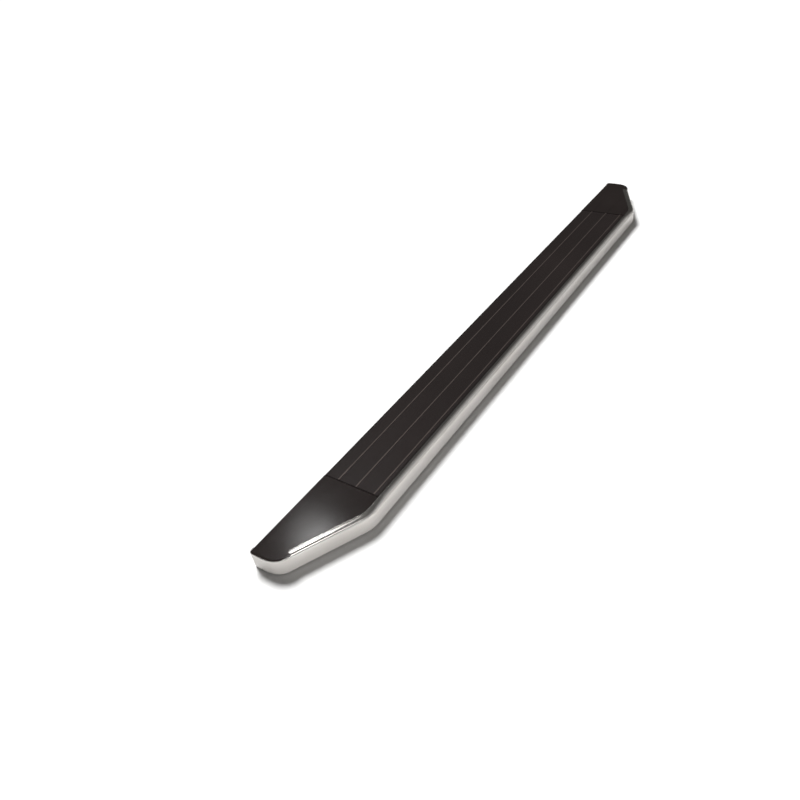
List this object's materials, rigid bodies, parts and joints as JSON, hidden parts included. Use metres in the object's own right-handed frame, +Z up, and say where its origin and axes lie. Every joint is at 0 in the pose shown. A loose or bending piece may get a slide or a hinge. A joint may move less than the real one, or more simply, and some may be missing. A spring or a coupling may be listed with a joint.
{
  "type": "running board",
  "caption": "Long flat step board for a vehicle sill: dark ribbed tread deck, moulded tapered ends and a bright outer trim, with sliding nuts under it for brackets.",
  "frame": {"origin": "middle of the underside, at the centre of the bounding box footprint", "axes": "+X along the board towards its rear end, +Y towards the vehicle, +Z up"},
  "size_m": [1.83, 0.16, 0.0435],
  "materials": {
    "deck_metal": "dark anodised, satin, with the rib crowns worn lighter",
    "tread_rubber": "smooth dark brown-black, semi-gloss",
    "trim_steel": "polished stainless steel, fine lengthwise grain",
    "cap_plastic": "dark brown-black moulded plastic, semi-gloss",
    "gasket_rubber": "matt black foam rubber",
    "zinc_steel": "zinc plated",
    "nut_steel": "zinc plated, dull",
    "clip_plastic": "black nylon",
    "foam_tape": "dark grey acrylic foam"
  },
  "bodies": {
    "board": {"deck_extrusion": "deck_metal", "tread_strip_inner": "tread_rubber", "tread_strip_inner_middle": "tread_rubber", "tread_strip_outer_middle": "tread_rubber", "tread_strip_outer": "tread_rubber", "outer_trim": "trim_steel", "front_end_cap": "cap_plastic", "rear_end_cap": "cap_plastic", "front_gasket": "gasket_rubber", "rear_gasket": "gasket_rubber", "front_cap_screws": "zinc_steel", "rear_cap_screws": "zinc_steel", "front_trim_screws": "zinc_steel", "rear_trim_screws": "zinc_steel", "deck_trim_screws": "zinc_steel", "trim_clips": "clip_plastic", "trim_tape": "foam_tape", "front_channel_plugs": "clip_plastic", "rear_channel_plugs": "clip_plastic"},
    "inner_slide_nut_front": {"inner_slide_nut_front": "nut_steel"},
    "inner_slide_nut_middle": {"inner_slide_nut_middle": "nut_steel"},
    "inner_slide_nut_rear": {"inner_slide_nut_rear": "nut_steel"},
    "outer_slide_nut_front": {"outer_slide_nut_front": "nut_steel"},
    "outer_slide_nut_middle": {"outer_slide_nut_middle": "nut_steel"},
    "outer_slide_nut_rear": {"outer_slide_nut_rear": "nut_steel"}
  },
  "joints": [
    {"name": "inner_nut_front_slide", "type": "slide", "parent": "board", "child": "inner_slide_nut_front", "axis": [1, 0, 0], "range_m": [-0.185, 0.185]},
    {"name": "inner_nut_middle_slide", "type": "slide", "parent": "board", "child": "inner_slide_nut_middle", "axis": [1, 0, 0], "range_m": [-0.185, 0.185]},
    {"name": "inner_nut_rear_slide", "type": "slide", "parent": "board", "child": "inner_slide_nut_rear", "axis": [1, 0, 0], "range_m": [-0.185, 0.185]},
    {"name": "outer_nut_front_slide", "type": "slide", "parent": "board", "child": "outer_slide_nut_front", "axis": [1, 0, 0], "range_m": [-0.185, 0.185]},
    {"name": "outer_nut_middle_slide", "type": "slide", "parent": "board", "child": "outer_slide_nut_middle", "axis": [1, 0, 0], "range_m": [-0.185, 0.185]},
    {"name": "outer_nut_rear_slide", "type": "slide", "parent": "board", "child": "outer_slide_nut_rear", "axis": [1, 0, 0], "range_m": [-0.185, 0.185]}
  ]
}
